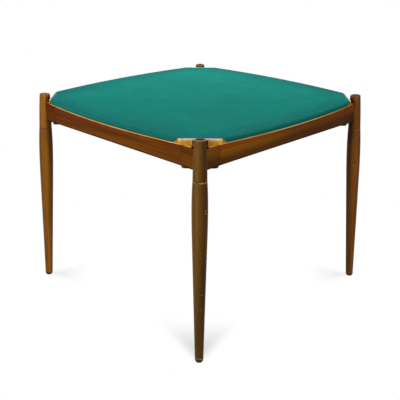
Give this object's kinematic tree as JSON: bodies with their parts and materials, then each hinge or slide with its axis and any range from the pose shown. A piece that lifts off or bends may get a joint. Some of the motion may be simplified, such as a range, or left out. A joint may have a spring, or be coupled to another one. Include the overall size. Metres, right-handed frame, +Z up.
{
  "type": "mahjong table with drawers",
  "caption": "Square game table with a loose baize top with bowed sides and cut corners, turned screw-on legs, and a long shallow drawer in every side.",
  "frame": {"origin": "on the floor, under the middle of the top", "axes": "+Z up, +X and +Y square to two neighbouring sides; the pictured corner is at +X, -Y"},
  "size_m": [0.908, 0.908, 0.7451],
  "materials": {
    "stained_wood": "reddish-brown stained hardwood, satin varnish",
    "light_wood": "pale clear-varnished hardwood",
    "carcass_wood": "plain planed softwood",
    "baize": "short-napped green wool baize",
    "brass": "turned",
    "steel": "zinc-plated",
    "fibre": "dark brown pressed fibre",
    "rubber": "matt black"
  },
  "bodies": {
    "frame": {"post_front_right": "stained_wood", "corner_block_front_right": "stained_wood", "corner_plate_front_right": "light_wood", "corner_bearer_front_right": "stained_wood", "post_back_right": "stained_wood", "corner_block_back_right": "stained_wood", "corner_plate_back_right": "light_wood", "corner_bearer_back_right": "stained_wood", "post_back_left": "stained_wood", "corner_block_back_left": "stained_wood", "corner_plate_back_left": "light_wood", "corner_bearer_back_left": "stained_wood", "post_front_left": "stained_wood", "corner_block_front_left": "stained_wood", "corner_plate_front_left": "light_wood", "corner_bearer_front_left": "stained_wood", "inner_rail_front": "carcass_wood", "inner_rail_right": "carcass_wood", "inner_rail_back": "carcass_wood", "inner_rail_left": "carcass_wood", "top_rails": "stained_wood", "drawer_runners": "carcass_wood", "leg_inserts": "brass", "bearer_screws": "steel"},
    "top": {"top_backing": "light_wood", "top_board": "light_wood", "baize": "baize", "corner_lippings": "light_wood"},
    "drawer_front": {"drawer_front_front": "stained_wood", "drawer_sides_front": "carcass_wood", "drawer_back_front": "carcass_wood", "drawer_bottom_front": "carcass_wood"},
    "drawer_right": {"drawer_front_right": "stained_wood", "drawer_sides_right": "carcass_wood", "drawer_back_right": "carcass_wood", "drawer_bottom_right": "carcass_wood"},
    "drawer_back": {"drawer_front_back": "stained_wood", "drawer_sides_back": "carcass_wood", "drawer_back_back": "carcass_wood", "drawer_bottom_back": "carcass_wood"},
    "drawer_left": {"drawer_front_left": "stained_wood", "drawer_sides_left": "carcass_wood", "drawer_back_left": "carcass_wood", "drawer_bottom_left": "carcass_wood"},
    "washer_front_right": {"leg_washer_front_right": "fibre"},
    "leg_front_right": {"leg_front_right": "stained_wood", "leg_stud_front_right": "steel", "glide_front_right": "rubber"},
    "washer_back_right": {"leg_washer_back_right": "fibre"},
    "leg_back_right": {"leg_back_right": "stained_wood", "leg_stud_back_right": "steel", "glide_back_right": "rubber"},
    "washer_back_left": {"leg_washer_back_left": "fibre"},
    "leg_back_left": {"leg_back_left": "stained_wood", "leg_stud_back_left": "steel", "glide_back_left": "rubber"},
    "washer_front_left": {"leg_washer_front_left": "fibre"},
    "leg_front_left": {"leg_front_left": "stained_wood", "leg_stud_front_left": "steel", "glide_front_left": "rubber"}
  },
  "joints": [
    {"name": "top_lift", "type": "slide", "parent": "frame", "child": "top", "axis": [0, 0, 1], "range_m": [0, 0.12]},
    {"name": "drawer_front_slide", "type": "slide", "parent": "frame", "child": "drawer_front", "axis": [0, -1, 0], "range_m": [0, 0.07]},
    {"name": "drawer_right_slide", "type": "slide", "parent": "frame", "child": "drawer_right", "axis": [1, 0, 0], "range_m": [0, 0.07]},
    {"name": "drawer_back_slide", "type": "slide", "parent": "frame", "child": "drawer_back", "axis": [0, 1, 0], "range_m": [0, 0.07]},
    {"name": "drawer_left_slide", "type": "slide", "parent": "frame", "child": "drawer_left", "axis": [-1, 0, 0], "range_m": [0, 0.07]},
    {"name": "leg_front_right_draw", "type": "slide", "parent": "frame", "child": "washer_front_right", "axis": [0.0364, -0.0364, -0.9987], "range_m": [0, 0.0302]},
    {"name": "leg_front_right_turn", "type": "hinge", "parent": "washer_front_right", "child": "leg_front_right", "pos_m": [0.405, -0.405, 0.745], "axis": [0.0364, -0.0364, -0.9987], "range_deg": [0, 2160]},
    {"name": "leg_back_right_draw", "type": "slide", "parent": "frame", "child": "washer_back_right", "axis": [0.0364, 0.0364, -0.9987], "range_m": [0, 0.0302]},
    {"name": "leg_back_right_turn", "type": "hinge", "parent": "washer_back_right", "child": "leg_back_right", "pos_m": [0.405, 0.405, 0.745], "axis": [0.0364, 0.0364, -0.9987], "range_deg": [0, 2160]},
    {"name": "leg_back_left_draw", "type": "slide", "parent": "frame", "child": "washer_back_left", "axis": [-0.0364, 0.0364, -0.9987], "range_m": [0, 0.0302]},
    {"name": "leg_back_left_turn", "type": "hinge", "parent": "washer_back_left", "child": "leg_back_left", "pos_m": [-0.405, 0.405, 0.745], "axis": [-0.0364, 0.0364, -0.9987], "range_deg": [0, 2160]},
    {"name": "leg_front_left_draw", "type": "slide", "parent": "frame", "child": "washer_front_left", "axis": [-0.0364, -0.0364, -0.9987], "range_m": [0, 0.0302]},
    {"name": "leg_front_left_turn", "type": "hinge", "parent": "washer_front_left", "child": "leg_front_left", "pos_m": [-0.405, -0.405, 0.745], "axis": [-0.0364, -0.0364, -0.9987], "range_deg": [0, 2160]}
  ],
  "couplings": [
    {"joint": "leg_front_right_draw", "follows": "leg_front_right_turn", "m_per_rad": 0.00079577},
    {"joint": "leg_back_right_draw", "follows": "leg_back_right_turn", "m_per_rad": 0.00079577},
    {"joint": "leg_back_left_draw", "follows": "leg_back_left_turn", "m_per_rad": 0.00079577},
    {"joint": "leg_front_left_draw", "follows": "leg_front_left_turn", "m_per_rad": 0.00079577}
  ]
}
